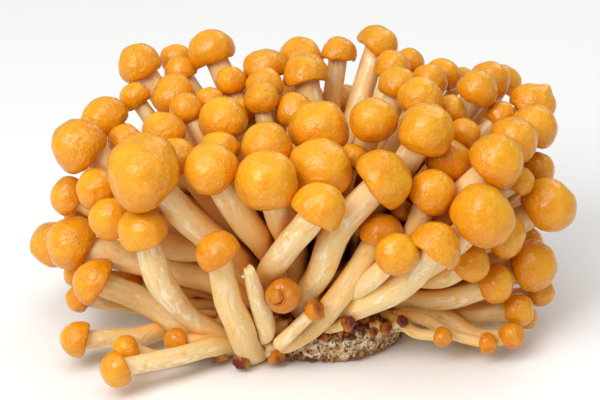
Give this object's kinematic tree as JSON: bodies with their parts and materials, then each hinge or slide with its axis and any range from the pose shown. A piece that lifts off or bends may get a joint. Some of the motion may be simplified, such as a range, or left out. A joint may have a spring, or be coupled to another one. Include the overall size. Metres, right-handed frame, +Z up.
{
  "type": "mushroom bunch",
  "caption": "Standing bunch of nameko mushrooms: slimy round amber caps on pale curved stems that fan out of the cut plug of compost they grew on.",
  "frame": {"origin": "under the middle of the bunch's box, on the surface it stands on", "axes": "+Z up, +X to the bunch's right and +Y to its back"},
  "size_m": [0.15, 0.1094, 0.0752],
  "materials": {
    "mushroom": "slimy amber cap skin on pale fibrous stems, both moist",
    "compost": "crumbly sawdust compost bound by cream mycelium"
  },
  "bodies": {
    "root": {"back_tuft_01": "mushroom", "back_tuft_02": "mushroom", "back_tuft_03": "mushroom", "back_tuft_04": "mushroom", "back_tuft_05": "mushroom", "back_tuft_06": "mushroom", "back_tuft_07": "mushroom", "compost_plug": "compost", "crown_mushroom_15": "mushroom", "crown_tuft_01": "mushroom", "crown_tuft_02": "mushroom", "crown_tuft_03": "mushroom", "crown_tuft_04": "mushroom", "crown_tuft_05": "mushroom", "crown_tuft_06": "mushroom", "crown_tuft_07": "mushroom", "crown_tuft_08": "mushroom", "crown_tuft_09": "mushroom", "crown_tuft_10": "mushroom", "crown_tuft_11": "mushroom", "crown_tuft_12": "mushroom", "crown_tuft_13": "mushroom", "crown_tuft_14": "mushroom", "front_mushroom_01": "mushroom", "front_mushroom_02": "mushroom", "front_mushroom_03": "mushroom", "front_mushroom_06": "mushroom", "front_mushroom_07": "mushroom", "front_mushroom_08": "mushroom", "front_mushroom_10": "mushroom", "front_mushroom_12": "mushroom", "front_tuft_04": "mushroom", "front_tuft_05": "mushroom", "front_tuft_09": "mushroom", "left_mushroom_02": "mushroom", "left_mushroom_06": "mushroom", "left_mushroom_08": "mushroom", "left_mushroom_09": "mushroom", "left_tuft_01": "mushroom", "left_tuft_03": "mushroom", "left_tuft_04": "mushroom", "left_tuft_05": "mushroom", "left_tuft_07": "mushroom", "left_tuft_10": "mushroom", "loose_cap": "mushroom", "right_mushroom_05": "mushroom", "right_mushroom_08": "mushroom", "right_mushroom_12": "mushroom", "right_mushroom_14": "mushroom", "right_tuft_01": "mushroom", "right_tuft_02": "mushroom", "right_tuft_03": "mushroom", "right_tuft_04": "mushroom", "right_tuft_06": "mushroom", "right_tuft_07": "mushroom", "right_tuft_09": "mushroom", "right_tuft_10": "mushroom", "right_tuft_11": "mushroom", "right_tuft_13": "mushroom", "snapped_stem": "mushroom"}
  },
  "joints": []
}
